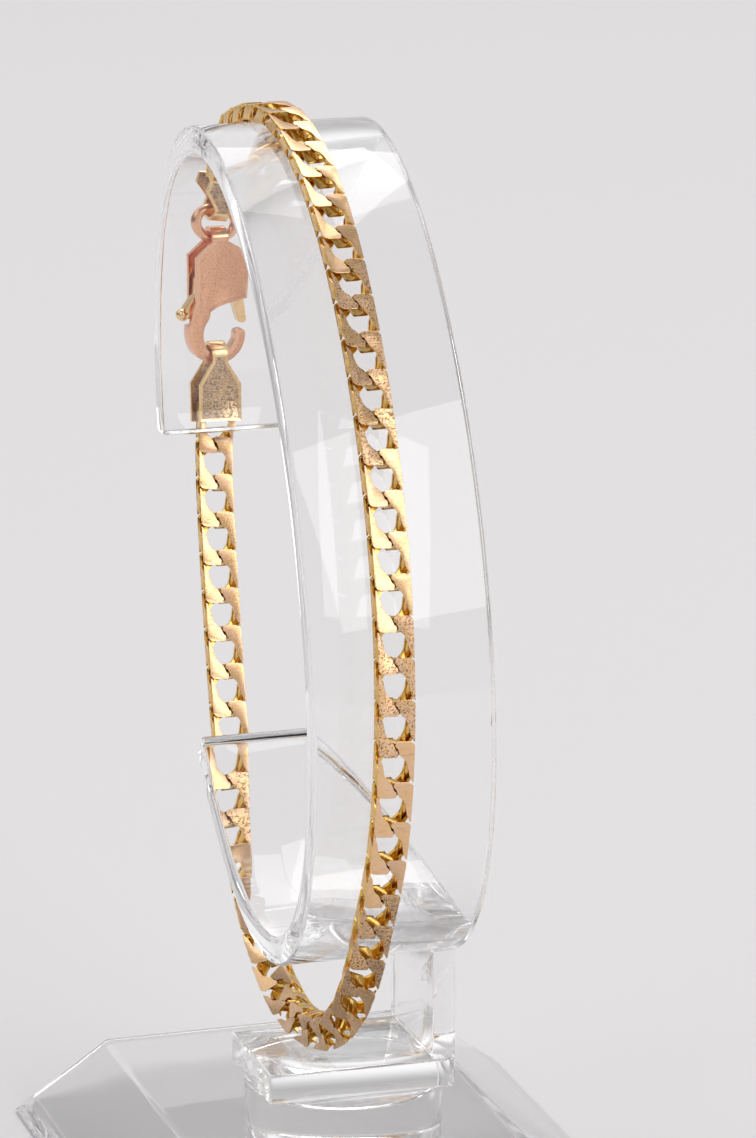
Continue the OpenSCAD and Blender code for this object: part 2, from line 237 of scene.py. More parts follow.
class Nodes:
    """A small helper that adds and joins the nodes of one tree."""

    def __init__(self, tree: bpy.types.NodeTree) -> None:
        """Holds the tree."""
        self.tree = tree

    def add(self, kind: str, **values: object) -> bpy.types.Node:
        """Adds a node.

        Args:
            kind: The node's type name.
            values: Its properties to set.

        Returns:
            The new node.
        """
        node = self.tree.nodes.new(kind)
        for name, value in values.items():
            setattr(node, name, value)
        return node

    def join(self, source: bpy.types.NodeSocket, target: bpy.types.NodeSocket) -> None:
        """Joins an output to an input."""
        self.tree.links.new(source, target)

    def math(self, operation: str, *values: object, clamp: bool = False) -> bpy.types.NodeSocket:
        """A sum on one to three values.

        Args:
            operation: The Math node's operation.
            values: The values or sockets.
            clamp: Whether the result stays between 0 and 1.

        Returns:
            The result's socket.
        """
        node = self.add("ShaderNodeMath", operation=operation, use_clamp=clamp)
        for socket, value in zip(node.inputs, values):
            self.feed(value, socket)
        return node.outputs[0]

    def feed(self, value: object, socket: bpy.types.NodeSocket) -> None:
        """Sets an input to a value, or joins a socket to it.

        Args:
            value: The value or socket.
            socket: The input.
        """
        if isinstance(value, bpy.types.NodeSocket):
            self.join(value, socket)
        else:
            socket.default_value = value

    def mix(self, factor: object, a: object, b: object) -> bpy.types.NodeSocket:
        """Mixes two colours.

        Args:
            factor: How much of the second colour.
            a: The first colour or socket.
            b: The second colour or socket.

        Returns:
            The mixed colour's socket.
        """
        node = self.add("ShaderNodeMix", data_type="RGBA")
        self.feed(factor, node.inputs[0])
        self.feed(a, node.inputs[6])
        self.feed(b, node.inputs[7])
        return node.outputs[2]

    def span(self, value: object, low: float, high: float, to_low: float = 0.0,
             to_high: float = 1.0) -> bpy.types.NodeSocket:
        """Maps a range of values to another.

        Args:
            value: The value or socket.
            low: The range's start.
            high: The range's end.
            to_low: The result at the start.
            to_high: The result at the end.

        Returns:
            The result's socket.
        """
        node = self.add("ShaderNodeMapRange", interpolation_type="SMOOTHSTEP")
        for socket, number in zip(node.inputs, (value, low, high, to_low, to_high)):
            self.feed(number, socket)
        return node.outputs[0]

    def noise(self, vector: object, scale: float, detail: float = 3.0,
              rough: float = 0.5) -> bpy.types.NodeSocket:
        """Noise values on a pattern's coordinates.

        Args:
            vector: The coordinates' socket.
            scale: How fine the noise is.
            detail: How many finer layers it has.
            rough: How strong they are.

        Returns:
            The value's socket.
        """
        node = self.add("ShaderNodeTexNoise")
        self.feed(vector, node.inputs["Vector"])
        node.inputs["Scale"].default_value = scale
        node.inputs["Detail"].default_value = detail
        node.inputs["Roughness"].default_value = rough
        return node.outputs["Fac"]

    def stretched(self, vector: object, turn: tuple[float, float, float],
                  scale: tuple[float, float, float]) -> bpy.types.NodeSocket:
        """Coordinates turned, then stretched along their axes.

        Args:
            vector: The coordinates' socket.
            turn: Degrees about each axis.
            scale: How much finer the pattern is along each axis.

        Returns:
            The new coordinates' socket.
        """
        node = self.add("ShaderNodeMapping", vector_type="POINT")
        self.feed(vector, node.inputs["Vector"])
        node.inputs["Rotation"].default_value = [math.radians(v) for v in turn]
        node.inputs["Scale"].default_value = scale
        return node.outputs["Vector"]

    def scaled(self, vector: object, factor: object) -> bpy.types.NodeSocket:
        """Coordinates times a factor, which makes a pattern finer.

        Args:
            vector: The coordinates' socket.
            factor: The factor or its socket.

        Returns:
            The new coordinates' socket.
        """
        node = self.add("ShaderNodeVectorMath", operation="SCALE")
        self.feed(vector, node.inputs["Vector"])
        self.feed(factor, node.inputs["Scale"])
        return node.outputs[0]

    def millimetres(self) -> bpy.types.NodeSocket:
        """The piece's own coordinates, in millimetres."""
        return self.scaled(self.add("ShaderNodeTexCoord").outputs["Object"], 1 / MM)


class SharedGroups:
    """Node groups that several finishes use, each built once."""

    # Each set of scratches: its turn in degrees, and how much finer it is along each axis
    SCRATCHES = (((0, 0, 20), (1.0, 16, 5)), ((30, 10, 75), (0.8, 13, 4)), ((0, 25, -40), (1.3, 20, 6)))
    # The noise values between which a scratch, a patch or a pit sets in
    SCRATCH_EDGE = (0.60, 0.72)
    PATCH_EDGE = (0.38, 0.64)
    PIT_EDGE = (0.50, 0.60)
    # How fine the noise is, its layers and their strength
    SCRATCH_NOISE = (1.0, 2.0, 0.6)
    PATCH_NOISE = (0.9, 4.0, 0.6)
    PIT_NOISE = (7.0, 3.0, 0.75)

    def __init__(self) -> None:
        """Starts with no group built."""
        self.built: dict[str, bpy.types.NodeTree] = {}

    def scratches(self) -> bpy.types.NodeTree:
        """Fine crossing scratches, with a height and a mask.

        Returns:
            The group, with inputs Vector and Amount, and outputs Mask and Height.
        """
        if "scratches" in self.built:
            return self.built["scratches"]
        tree = bpy.data.node_groups.new("fine_scratches", "ShaderNodeTree")
        tree.interface.new_socket("Vector", in_out="INPUT", socket_type="NodeSocketVector")
        amount = tree.interface.new_socket("Amount", in_out="INPUT", socket_type="NodeSocketFloat")
        amount.default_value = 0.5
        tree.interface.new_socket("Mask", in_out="OUTPUT", socket_type="NodeSocketFloat")
        tree.interface.new_socket("Height", in_out="OUTPUT", socket_type="NodeSocketFloat")
        n = Nodes(tree)
        enter = n.add("NodeGroupInput")
        leave = n.add("NodeGroupOutput")
        lines = None
        for turn, scale in self.SCRATCHES:
            value = n.noise(n.stretched(enter.outputs["Vector"], turn, scale), *self.SCRATCH_NOISE)
            line = n.span(value, *self.SCRATCH_EDGE)
            lines = line if lines is None else n.math("MAXIMUM", lines, line)
        mask = n.math("MULTIPLY", lines, enter.outputs["Amount"], clamp=True)
        n.join(mask, leave.inputs["Mask"])
        n.join(n.math("SUBTRACT", 1.0, mask), leave.inputs["Height"])
        self.built["scratches"] = tree
        return tree

    def mottle(self) -> bpy.types.NodeTree:
        """Uneven wear: broad patches, and small dark pits.

        Returns:
            The group, with inputs Vector and Fineness, and outputs Patches and Pits.
        """
        if "mottle" in self.built:
            return self.built["mottle"]
        tree = bpy.data.node_groups.new("uneven_wear", "ShaderNodeTree")
        tree.interface.new_socket("Vector", in_out="INPUT", socket_type="NodeSocketVector")
        fineness = tree.interface.new_socket("Fineness", in_out="INPUT", socket_type="NodeSocketFloat")
        fineness.default_value = 1.0
        tree.interface.new_socket("Patches", in_out="OUTPUT", socket_type="NodeSocketFloat")
        tree.interface.new_socket("Pits", in_out="OUTPUT", socket_type="NodeSocketFloat")
        n = Nodes(tree)
        enter = n.add("NodeGroupInput")
        leave = n.add("NodeGroupOutput")
        place = n.scaled(enter.outputs["Vector"], enter.outputs["Fineness"])
        n.join(n.span(n.noise(place, *self.PATCH_NOISE), *self.PATCH_EDGE), leave.inputs["Patches"])
        n.join(n.span(n.noise(place, *self.PIT_NOISE), *self.PIT_EDGE), leave.inputs["Pits"])
        self.built["mottle"] = tree
        return tree


@dataclass(frozen=True)
class GoldFinish:
    """Worn gold: its polish, its rubbed and filed faces, and the fine scratches on them.

    The faces' attributes say where it is rubbed (filed), how pitted it is there (link_tone) and where shade
    is painted into its colour as a dark tone (the painted shade attribute). A piece without them is polished
    all over.
    """

    name: str
    polished: tuple[float, float, float, float]
    rubbed: tuple[float, float, float, float]
    dark: tuple[float, float, float, float]
    polish_rough: float
    rubbed_rough: float
    scratch_amount: float
    scratch_depth: float
    pit_amount: float
    wear_fineness: float = 1.0
    least_rubbed: float = 0.7
    scratch_darkness: float = 0.35
    scratch_rough: float = 0.12
    bump_strength: float = 0.35
    grain_noise: tuple[float, float, float] = (9.0, 3.0, 0.6)
    grain_height: float = 0.6
    pit_depth: float = 1.6

    def build(self, groups: SharedGroups) -> bpy.types.Material:
        """Makes the material.

        Args:
            groups: The shared node groups.

        Returns:
            The material.
        """
        material = bpy.data.materials.new(self.name)
        material.use_nodes = True
        n = Nodes(material.node_tree)
        shader = material.node_tree.nodes["Principled BSDF"]
        shader.inputs["Metallic"].default_value = 1.0
        place = n.millimetres()
        filed, tone, painted_shade = (n.add("ShaderNodeAttribute", attribute_name=name).outputs["Fac"]
                                for name in ("filed", "link_tone", "painted_shade"))
        wear = n.add("ShaderNodeGroup", node_tree=groups.mottle())
        n.join(place, wear.inputs["Vector"])
        wear.inputs["Fineness"].default_value = self.wear_fineness
        scratch = n.add("ShaderNodeGroup", node_tree=groups.scratches())
        n.join(place, scratch.inputs["Vector"])
        scratch.inputs["Amount"].default_value = self.scratch_amount
        scratched = scratch.outputs["Mask"]
        patches = n.span(wear.outputs["Patches"], 0.0, 1.0, self.least_rubbed, 1.0)
        rubbed_here = n.math("MULTIPLY", filed, patches)
        colour = n.mix(rubbed_here, self.polished, self.rubbed)
        pits = n.math("MULTIPLY", n.math("MULTIPLY", wear.outputs["Pits"], filed),
                      n.math("MULTIPLY", tone, self.pit_amount))
        # Painted shade: the painted shade attribute, like the real pits, pulls the colour towards the dark
        # tone
        colour = n.mix(n.math("MAXIMUM", pits, painted_shade), colour, self.dark)
        colour = n.mix(n.math("MULTIPLY", scratched, self.scratch_darkness), colour, self.dark)
        n.join(colour, shader.inputs["Base Color"])
        rough = n.span(rubbed_here, 0.0, 1.0, self.polish_rough, self.rubbed_rough)
        rough = n.math("ADD", rough, n.math("MULTIPLY", scratched, self.scratch_rough), clamp=True)
        n.join(rough, shader.inputs["Roughness"])
        bump = n.add("ShaderNodeBump")
        bump.inputs["Strength"].default_value = self.bump_strength
        bump.inputs["Distance"].default_value = self.scratch_depth * MM
        grain = n.math("MULTIPLY", n.noise(place, *self.grain_noise), self.grain_height)
        height = n.math("ADD", scratch.outputs["Height"], grain)
        height = n.math("SUBTRACT", height, n.math("MULTIPLY", pits, self.pit_depth))
        n.join(height, bump.inputs["Height"])
        n.join(bump.outputs[0], shader.inputs["Normal"])
        return material


@dataclass(frozen=True)
class AcrylicFinish:
    """Clear polished acrylic with faint scratches and a slightly uneven polish."""

    name: str
    colour: tuple[float, float, float, float] = (0.995, 0.995, 0.998, 1.0)
    index: float = 1.49
    polish_rough: float = 0.02
    scratch_rough: float = 0.25
    scratch_amount: float = 0.25
    scratch_fineness: float = 0.35
    ripple_strength: float = 0.25
    ripple_depth: float = 0.02
    ripple_noise: tuple[float, float] = (0.25, 1.0)

    def build(self, groups: SharedGroups) -> bpy.types.Material:
        """Makes the material.

        Args:
            groups: The shared node groups.

        Returns:
            The material.
        """
        material = bpy.data.materials.new(self.name)
        material.use_nodes = True
        n = Nodes(material.node_tree)
        shader = material.node_tree.nodes["Principled BSDF"]
        shader.inputs["Base Color"].default_value = self.colour
        shader.inputs["Metallic"].default_value = 0.0
        shader.inputs["Transmission Weight"].default_value = 1.0
        shader.inputs["IOR"].default_value = self.index
        place = n.millimetres()
        scratch = n.add("ShaderNodeGroup", node_tree=groups.scratches())
        n.join(n.scaled(place, self.scratch_fineness), scratch.inputs["Vector"])
        scratch.inputs["Amount"].default_value = self.scratch_amount
        rough = n.span(scratch.outputs["Mask"], 0.0, 1.0, self.polish_rough, self.scratch_rough)
        n.join(rough, shader.inputs["Roughness"])
        bump = n.add("ShaderNodeBump")
        bump.inputs["Strength"].default_value = self.ripple_strength
        bump.inputs["Distance"].default_value = self.ripple_depth * MM
        n.join(n.noise(place, *self.ripple_noise), bump.inputs["Height"])
        n.join(bump.outputs[0], shader.inputs["Normal"])
        return material


def new_piece(name: str, mesh: bpy.types.Mesh, material: bpy.types.Material, slot: Slot, body: Body,
              *nodes: str) -> bpy.types.Object:
    """Adds a finished piece to the scene.

    Args:
        name: The piece's name.
        mesh: Its mesh, in the part's frame.
        material: Its material.
        slot: The record's slot of its finish; not used.
        body: The body it moves with.
        nodes: The nodes it stands for.

    Returns:
        The piece's object.
    """
    mesh.materials.clear()
    mesh.materials.append(material)
    piece = bpy.data.objects.new(name, mesh)
    bpy.context.scene.collection.objects.link(piece)
    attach(piece, body.value)
    if nodes:
        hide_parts(*nodes)
    LOG.info("%s: %d faces", name, len(mesh.polygons))
    return piece


def finish_mesh(bm: bmesh.types.BMesh, name: str, sharp_degrees: float) -> bpy.types.Mesh:
    """Turns a bmesh into a mesh with smooth faces and sharp edges where it bends strongly.

    Args:
        bm: The bmesh, which is freed.
        name: The mesh's name.
        sharp_degrees: Edges that bend more than this stay sharp.

    Returns:
        The mesh.
    """
    limit = math.radians(sharp_degrees)
    for face in bm.faces:
        face.smooth = True
    for edge in bm.edges:
        edge.smooth = not (edge.is_manifold and edge.calc_face_angle(0.0) > limit)
    mesh = bpy.data.meshes.new(name)
    bm.to_mesh(mesh)
    bm.free()
    return mesh


def round_edges(bm: bmesh.types.BMesh, edges: list[bmesh.types.BMEdge], width: float,
                segments: int) -> list[bmesh.types.BMFace]:
    """Rounds edges.

    Args:
        bm: The mesh.
        edges: The edges.
        width: Width of the rounding, in the mesh's own units.
        segments: Steps in the rounding.

    Returns:
        The faces of the rounding.
    """
    made = bmesh.ops.bevel(bm, geom=edges, offset=width, offset_type="OFFSET", segments=segments, profile=0.5,
                           affect="EDGES", material=-1, clamp_overlap=True, loop_slide=True)
    return made["faces"]


def flat_side(start: bmesh.types.BMFace) -> list[bmesh.types.BMFace]:
    """The flat side that a face belongs to.

    Args:
        start: The face.

    Returns:
        The faces that lie in one plane and join on to it, itself included.
    """
    side = [start]
    for face in side:
        for edge in face.edges:
            side += [f for f in edge.link_faces if f not in side and f.normal.dot(start.normal) > SAME_PLANE]
    return side


def outer_corners(side: list[bmesh.types.BMFace]) -> set[bmesh.types.BMVert]:
    """The corners of a side's outline, without those round a hole in it.

    Args:
        side: The side's faces.

    Returns:
        The corners on the longest of its borders.
    """
    border = [e for f in side for e in f.edges if sum(other in side for other in e.link_faces) == 1]
    longest: set[bmesh.types.BMVert] = set()
    most = 0.0
    while border:
        first = border.pop()
        corners = set(first.verts)
        length = first.calc_length()
        joined = [first]
        while joined:
            joined = [e for e in border if corners & set(e.verts)]
            border = [e for e in border if e not in joined]
            corners.update(v for e in joined for v in e.verts)
            length += sum(e.calc_length() for e in joined)
        if length > most:
            longest, most = corners, length
    return longest


def slope_borders(bm: bmesh.types.BMesh, width: float, depth: float) -> None:
    """Slopes the borders of the widest sides down towards their edges, and marks those sides as rubbed.

    Args:
        bm: The mesh.
        width: Width of the sloped border, in millimetres.
        depth: How far the edge sinks, in millimetres.
    """
    filed = bm.faces.layers.float.new("filed")
    tone = bm.faces.layers.float.new("link_tone")
    wide = [f for f in bm.faces if f.calc_area() > WIDE_SIDE * MM * MM]
    while wide:
        side = flat_side(wide[0])
        wide = [f for f in wide if f not in side]
        corners = outer_corners(side)
        sink = side[0].normal * -depth * MM
        border = bmesh.ops.inset_region(bm, faces=side, thickness=width * MM, use_even_offset=False)["faces"]
        bmesh.ops.translate(bm, verts=list(corners), vec=sink)
        for face in side + [f for f in border if not corners & set(f.verts)]:
            face[filed] = 1.0
            face[tone] = 1.0


def softened_copy(source: bpy.types.Object, name: str, width: float, segments: int,
                  border: tuple[float, float] = (0.0, 0.0)) -> bpy.types.Mesh:
    """A copy of a node's mesh, merged and with its edges rounded.

    Args:
        source: The node's object.
        name: The new mesh's name.
        width: Width of the rounding, in millimetres.
        segments: Steps in the rounding.
        border: Width and depth of the sloped border of its widest sides, or zeros for none.

    Returns:
        The new mesh.
    """
    bm = bmesh.new()
    bm.from_mesh(source.data)
    bmesh.ops.remove_doubles(bm, verts=bm.verts, dist=MERGE_DISTANCE * MM)
    bmesh.ops.dissolve_limit(bm, angle_limit=math.radians(FLAT_DEGREES), verts=bm.verts, edges=bm.edges)
    if border[0]:
        slope_borders(bm, *border)
    limit = math.radians(SHARP_DEGREES)
    sharp = [e for e in bm.edges if e.is_manifold and e.calc_face_angle(0.0) > limit]
    round_edges(bm, sharp, width * MM, segments)
    return finish_mesh(bm, name, SHADE_DEGREES)


@dataclass(frozen=True)
class CurbChain:
    """The string of curb links: one filed and twisted oval strip, repeated along the route."""

    route: Route
    half_length: float = 1.75
    half_width: float = 1.17
    loop_power: float = 4.4
    strip_side: float = 0.21
    strip_end: float = 0.28
    strip_side_width: float = 0.76
    strip_end_width: float = 0.45
    narrowing: float = 2.0
    section_power: float = 2.3
    twist: float = 0.916
    twist_shape: float = 1.089
    width: float = 2.76
    thickness: float = 1.17
    shoulder_depth: float = 0.26
    shoulder_taper: float = 0.8
    overlap: float = 0.05
    rim: float = 0.05
    rim_steps: int = 2
    rim_degrees: float = 25.0
    shade_degrees: float = 24.0
    side_rubbed: float = 0.8
    # Painted shade: how dark the colour is made inside the links' ends, where neighbouring links meet and
    # shade falls, with its least share, where it starts along, over how far, and how far across, in
    # millimetres
    painted_shade: float = 0.5
    painted_shade_least: float = 0.4
    painted_shade_from: float = 0.7
    painted_shade_over: float = 0.8
    painted_shade_across: float = 1.2
    worn_heights: tuple[tuple[float, float], ...] = ((59.0, 71.0), (41.5, 48.0), (22.0, 28.0))
    worn_until: float = 20.0
    worn_tone: float = 0.85
    usual_tone: float = 0.15
    tone_turn: float = 12.9898
    stations: int = 48
    line_steps: int = 384
    sides: int = 14
    ring: float = 3.0
    cut_distance: float = 1e-5
    merge_distance: float = 0.015
    sorting_way: Vector = Vector((1.0, 0.618, 0.377)).freeze()
    filed_outline: tuple[tuple[float, float], ...] = (
        (-1.37, -1.04), (-1.26, -1.02), (-1.0, -0.5), (-0.9, 0.0), (-0.82, 0.35), (-0.64, 0.66),
        (-0.34, 0.92), (-0.2, 1.13), (0.13, 1.96), (0.1, 2.07), (0.0, 2.12), (-0.9, 2.1), (-1.16, 2.02),
        (-1.34, 1.84), (-1.37, 1.6))

    def loop_points(self) -> tuple[list[float], list[Vector]]:
        """The link's centre line.

        Returns:
            The length up to each of its points, and the points.
        """
        points = []
        for i in range(self.line_steps + 1):
            angle = math.tau * i / self.line_steps
            points.append(Vector((self.half_length * signed_power(math.cos(angle), 2 / self.loop_power),
                                  self.half_width * signed_power(math.sin(angle), 2 / self.loop_power))))
        lengths = [0.0]
        for a, b in zip(points, points[1:]):
            lengths.append(lengths[-1] + (b - a).length)
        return lengths, points

    def surface(self, share: float, angle: float, lengths: list[float], points: list[Vector]) -> Vector:
        """A point of the strip before it is filed.

        Args:
            share: Place round the link, from 0 to 1.
            angle: Place round the strip's section.
            lengths: Length up to each point of the centre line.
            points: The centre line.

        Returns:
            The point, as along, width and thickness.
        """

        def spot(s: float) -> Vector:
            """The centre line's point at length s."""
            s %= lengths[-1]
            i = min(bisect_right(lengths, s) - 1, len(points) - 2)
            gap = max(lengths[i + 1] - lengths[i], NEARLY_ZERO)
            return points[i].lerp(points[i + 1], (s - lengths[i]) / gap)

        here = spot(share * lengths[-1])
        step = lengths[-1] / self.stations
        way = (spot(share * lengths[-1] + step) - spot(share * lengths[-1] - step)).normalized()
        near_end = min(abs(here.x) / self.half_length, 1.0) ** self.narrowing
        thick = self.strip_side + (self.strip_end - self.strip_side) * near_end
        wide = self.strip_side_width + (self.strip_end_width - self.strip_side_width) * near_end
        out = thick * signed_power(math.cos(angle), 2 / self.section_power)
        up = wide * signed_power(math.sin(angle), 2 / self.section_power)
        s = here.x + way.y * out
        r = here.y - way.x * out
        turn = -self.twist * math.tanh(self.twist_shape * s / self.half_length) / math.tanh(self.twist_shape)
        return Vector((s, r * math.cos(turn) - up * math.sin(turn), r * math.sin(turn) + up * math.cos(turn)))

    def strip(self) -> bmesh.types.BMesh:
        """The link's twisted oval strip before it is filed.

        Returns:
            The strip, in millimetres on the link's own axes.
        """
        bm = bmesh.new()
        upright = Matrix.Translation((self.ring, 0, 0)) @ Matrix.Rotation(math.pi / 2, 4, "X")
        bmesh.ops.create_circle(bm, cap_ends=False, segments=self.sides, radius=1.0, matrix=upright)
        bmesh.ops.spin(bm, geom=bm.verts[:] + bm.edges[:], cent=(0, 0, 0), axis=(0, 0, 1), angle=math.tau,
                       steps=self.stations, use_merge=True)
        lengths, points = self.loop_points()
        for vert in bm.verts:
            x, y, z = vert.co
            share = (math.atan2(y, x) / math.tau) % 1.0
            angle = math.atan2(z, math.hypot(x, y) - self.ring)
            vert.co = self.surface(share, angle, lengths, points)
        bmesh.ops.recalc_face_normals(bm, faces=bm.faces)
        return bm

    def shoulder(self, half_turn: Matrix) -> bmesh.types.BMesh:
        """The solid metal under one filed face.

        Args:
            half_turn: The turn that takes it to its place on the link.

        Returns:
            A closed wedge that reaches a little past the filed face.
        """
        bm = bmesh.new()
        top = self.thickness / 2 + self.overlap
        verts = [bm.verts.new((along, across, top)) for across, along in self.filed_outline]
        face = bm.faces.new(verts)
        made = bmesh.ops.extrude_face_region(bm, geom=[face])
        low = [v for v in made["geom"] if isinstance(v, bmesh.types.BMVert)]
        middle = Vector((sum(v.co.x for v in low), sum(v.co.y for v in low), 0)) / len(low)
        bmesh.ops.translate(bm, verts=low, vec=(0, 0, -self.shoulder_depth - self.overlap))
        taper = (self.shoulder_taper, self.shoulder_taper, 1)
        bmesh.ops.scale(bm, verts=low, vec=taper, space=Matrix.Translation(-middle))
        bmesh.ops.transform(bm, matrix=half_turn, verts=bm.verts)
        bmesh.ops.recalc_face_normals(bm, faces=bm.faces)
        return bm

    def joined(self, parts: list[bmesh.types.BMesh]) -> bmesh.types.BMesh:
        """Joins closed shapes into one skin, with its parts in a fixed order.

        Args:
            parts: The shapes, which are freed.

        Returns:
            The joined shape.
        """
        objects = []
        for part in parts:
            mesh = bpy.data.meshes.new("link_part")
            part.to_mesh(mesh)
            part.free()
            objects.append(bpy.data.objects.new("link_part", mesh))
            bpy.context.scene.collection.objects.link(objects[-1])
        base = objects[0]
        for other in objects[1:]:
            union = base.modifiers.new("union", "BOOLEAN")
            union.operation = "UNION"
            union.solver = "EXACT"
            union.object = other
        bm = bmesh.new()
        bm.from_object(base, bpy.context.evaluated_depsgraph_get())
        bm.verts.sort(key=lambda vert: vert.co.dot(self.sorting_way))
        bm.edges.sort(key=lambda edge: (edge.verts[0].co + edge.verts[1].co).dot(self.sorting_way))
        bm.faces.sort(key=lambda face: face.calc_center_median().dot(self.sorting_way))
        for seq in (bm.verts, bm.edges, bm.faces):
            seq.index_update()
        for item in objects:
            mesh = item.data
            bpy.data.objects.remove(item)
            bpy.data.meshes.remove(mesh)
        return bm

    def link_bmesh(self) -> bmesh.types.BMesh:
        """One whole link.

        Returns:
            The link, in millimetres on its own axes, with marks for its filed faces and for the shade painted
            on its other faces.
        """
        turns = [Matrix.Identity(4)] + [Matrix.Rotation(math.pi, 4, axis) for axis in "XYZ"]
        bm = self.joined([self.strip()] + [self.shoulder(turn) for turn in turns])
        filed = bm.faces.layers.float.new("filed")
        for axis, reach, rubbed in ((2, self.thickness / 2, 1.0), (1, self.width / 2, self.side_rubbed)):
            for side in (1, -1):
                normal = Vector((0, 0, 0))
                normal[axis] = side
                cut = bmesh.ops.bisect_plane(bm, geom=bm.verts[:] + bm.edges[:] + bm.faces[:],
                                             dist=self.cut_distance, plane_co=normal * reach, plane_no=normal,
                                             clear_outer=True)
                edges = [e for e in cut["geom_cut"] if isinstance(e, bmesh.types.BMEdge)]
                for face in bmesh.ops.edgeloop_fill(bm, edges=edges)["faces"]:
                    face[filed] = rubbed
        bmesh.ops.remove_doubles(bm, verts=bm.verts, dist=self.merge_distance)
        limit = math.radians(self.rim_degrees)
        rim = [e for e in bm.edges if e.is_manifold and any(f[filed] == 1.0 for f in e.link_faces)
               and e.calc_face_angle(0.0) > limit]
        rounding = round_edges(bm, rim, self.rim, self.rim_steps)
        bmesh.ops.recalc_face_normals(bm, faces=bm.faces)
        # Painted shade: faces that are neither filed nor rounded get a darker colour inside the link's ends,
        # where the gaps between links are in shade
        painted_shade = bm.faces.layers.float.new("painted_shade")
        for face in bm.faces:
            if face in rounding:
                face[filed] = 0.0
            elif face[filed] == 0.0:
                face[painted_shade] = self.painted_shade_at(face.calc_center_median())
        return bm

    def painted_shade_at(self, place: Vector) -> float:
        """How much shade is painted into the metal's colour at a place on the link: most inside its ends,
        where the next link meets it.

        Args:
            place: The place, in millimetres.

        Returns:
            The painted shade, from 0 to 1.
        """
        near_end = min(max((abs(place.x) - self.painted_shade_from) / self.painted_shade_over, 0.0), 1.0)
        inward = min(max(self.painted_shade_across - abs(place.y), 0.0), 1.0)
        return self.painted_shade * near_end * (self.painted_shade_least + (1 - self.painted_shade_least) * inward)

    def build(self, material: bpy.types.Material) -> bpy.types.Object:
        """Makes the chain.

        Args:
            material: The chain's gold.

        Returns:
            The chain's object.
        """
        link = finish_mesh(self.link_bmesh(), "one_link", self.shade_degrees)
        bm = bmesh.new()
        bm.faces.layers.float.new("link_tone")
        for i, frame in enumerate(self.route.link_frames()):
            before = len(bm.verts)
            faces_before = len(bm.faces)
            bm.from_mesh(link)
            bm.verts.ensure_lookup_table()
            bm.faces.ensure_lookup_table()
            bmesh.ops.transform(bm, matrix=frame, verts=bm.verts[before:])
            tone = bm.faces.layers.float["link_tone"]
            height = frame.translation.z / MM
            worn = any(low < height < high for low, high in self.worn_heights)
            worn = worn and frame.translation.y < self.worn_until * MM
            usual = self.usual_tone + self.usual_tone * math.sin(self.tone_turn * i)
            for face in bm.faces[faces_before:]:
                face[tone] = self.worn_tone if worn else usual
        bpy.data.meshes.remove(link)
        mesh = bpy.data.meshes.new("curb_links")
        bm.to_mesh(mesh)
        bm.free()
        return new_piece("curb_links", mesh, material, Slot.CHAIN, Body.WHOLE, "curb_chain")


@dataclass(frozen=True)
class MetalEnds:
    """The end tabs, the ring and the clasp."""

    ring_centre: tuple[float, float, float] = (-2.5, 28.15, 70.1947)
    ring_radius: float = 1.38
    ring_wire: float = 0.72
    wire_sides: int = 20
    ring_steps: int = 64
    ring_shade_degrees: float = 60.0
    tab_round: float = 0.09
    tab_steps: int = 2
    tab_border: tuple[float, float] = (0.24, 0.08)
    clasp_round: float = 0.1
    clasp_steps: int = 3
    clasp_border: tuple[float, float] = (0.32, 0.1)

    def ring(self, material: bpy.types.Material) -> bpy.types.Object:
        """Makes the jump ring from a circle of wire.

        Args:
            material: The ring's gold.

        Returns:
            The ring's object.
        """
        bm = bmesh.new()
        bmesh.ops.create_circle(bm, cap_ends=False, segments=self.wire_sides, radius=self.ring_wire / 2 * MM,
                                matrix=Matrix.Translation((self.ring_radius * MM, 0, 0)))
        bmesh.ops.spin(bm, geom=bm.verts[:] + bm.edges[:], cent=(0, 0, 0), axis=(0, 1, 0), angle=math.tau,
                       steps=self.ring_steps, use_merge=True)
        bmesh.ops.translate(bm, verts=bm.verts, vec=Vector(self.ring_centre) * MM)
        bmesh.ops.recalc_face_normals(bm, faces=bm.faces)
        mesh = finish_mesh(bm, "ring_of_wire", self.ring_shade_degrees)
        return new_piece("ring_of_wire", mesh, material, Slot.CLASP, Body.WHOLE, "jump_ring")

    def build(self, nodes: dict[str, bpy.types.Object], tab_gold: bpy.types.Material,
              rose_gold: bpy.types.Material, lever_gold: bpy.types.Material) -> None:
        """Makes all metal pieces but the chain.

        Args:
            nodes: The frame's nodes.
            tab_gold: The tabs' gold.
            rose_gold: The gold of the ring and the clasp.
            lever_gold: The lever's gold.
        """
        for tab in ("lower_tab", "upper_tab"):
            mesh = softened_copy(nodes[tab], f"{tab}_sheet", self.tab_round, self.tab_steps, self.tab_border)
            new_piece(f"{tab}_sheet", mesh, tab_gold, Slot.CHAIN, Body.WHOLE, tab)
        self.ring(rose_gold)
        body = softened_copy(nodes["clasp_body"], "clasp_shell", self.clasp_round, self.clasp_steps,
                             self.clasp_border)
        new_piece("clasp_shell", body, rose_gold, Slot.CLASP, Body.WHOLE, "clasp_body")
        lever = softened_copy(nodes["clasp_lever"], "clasp_gate", self.clasp_round, self.clasp_steps)
        new_piece("clasp_gate", lever, lever_gold, Slot.CLASP, Body.LEVER, "clasp_lever")


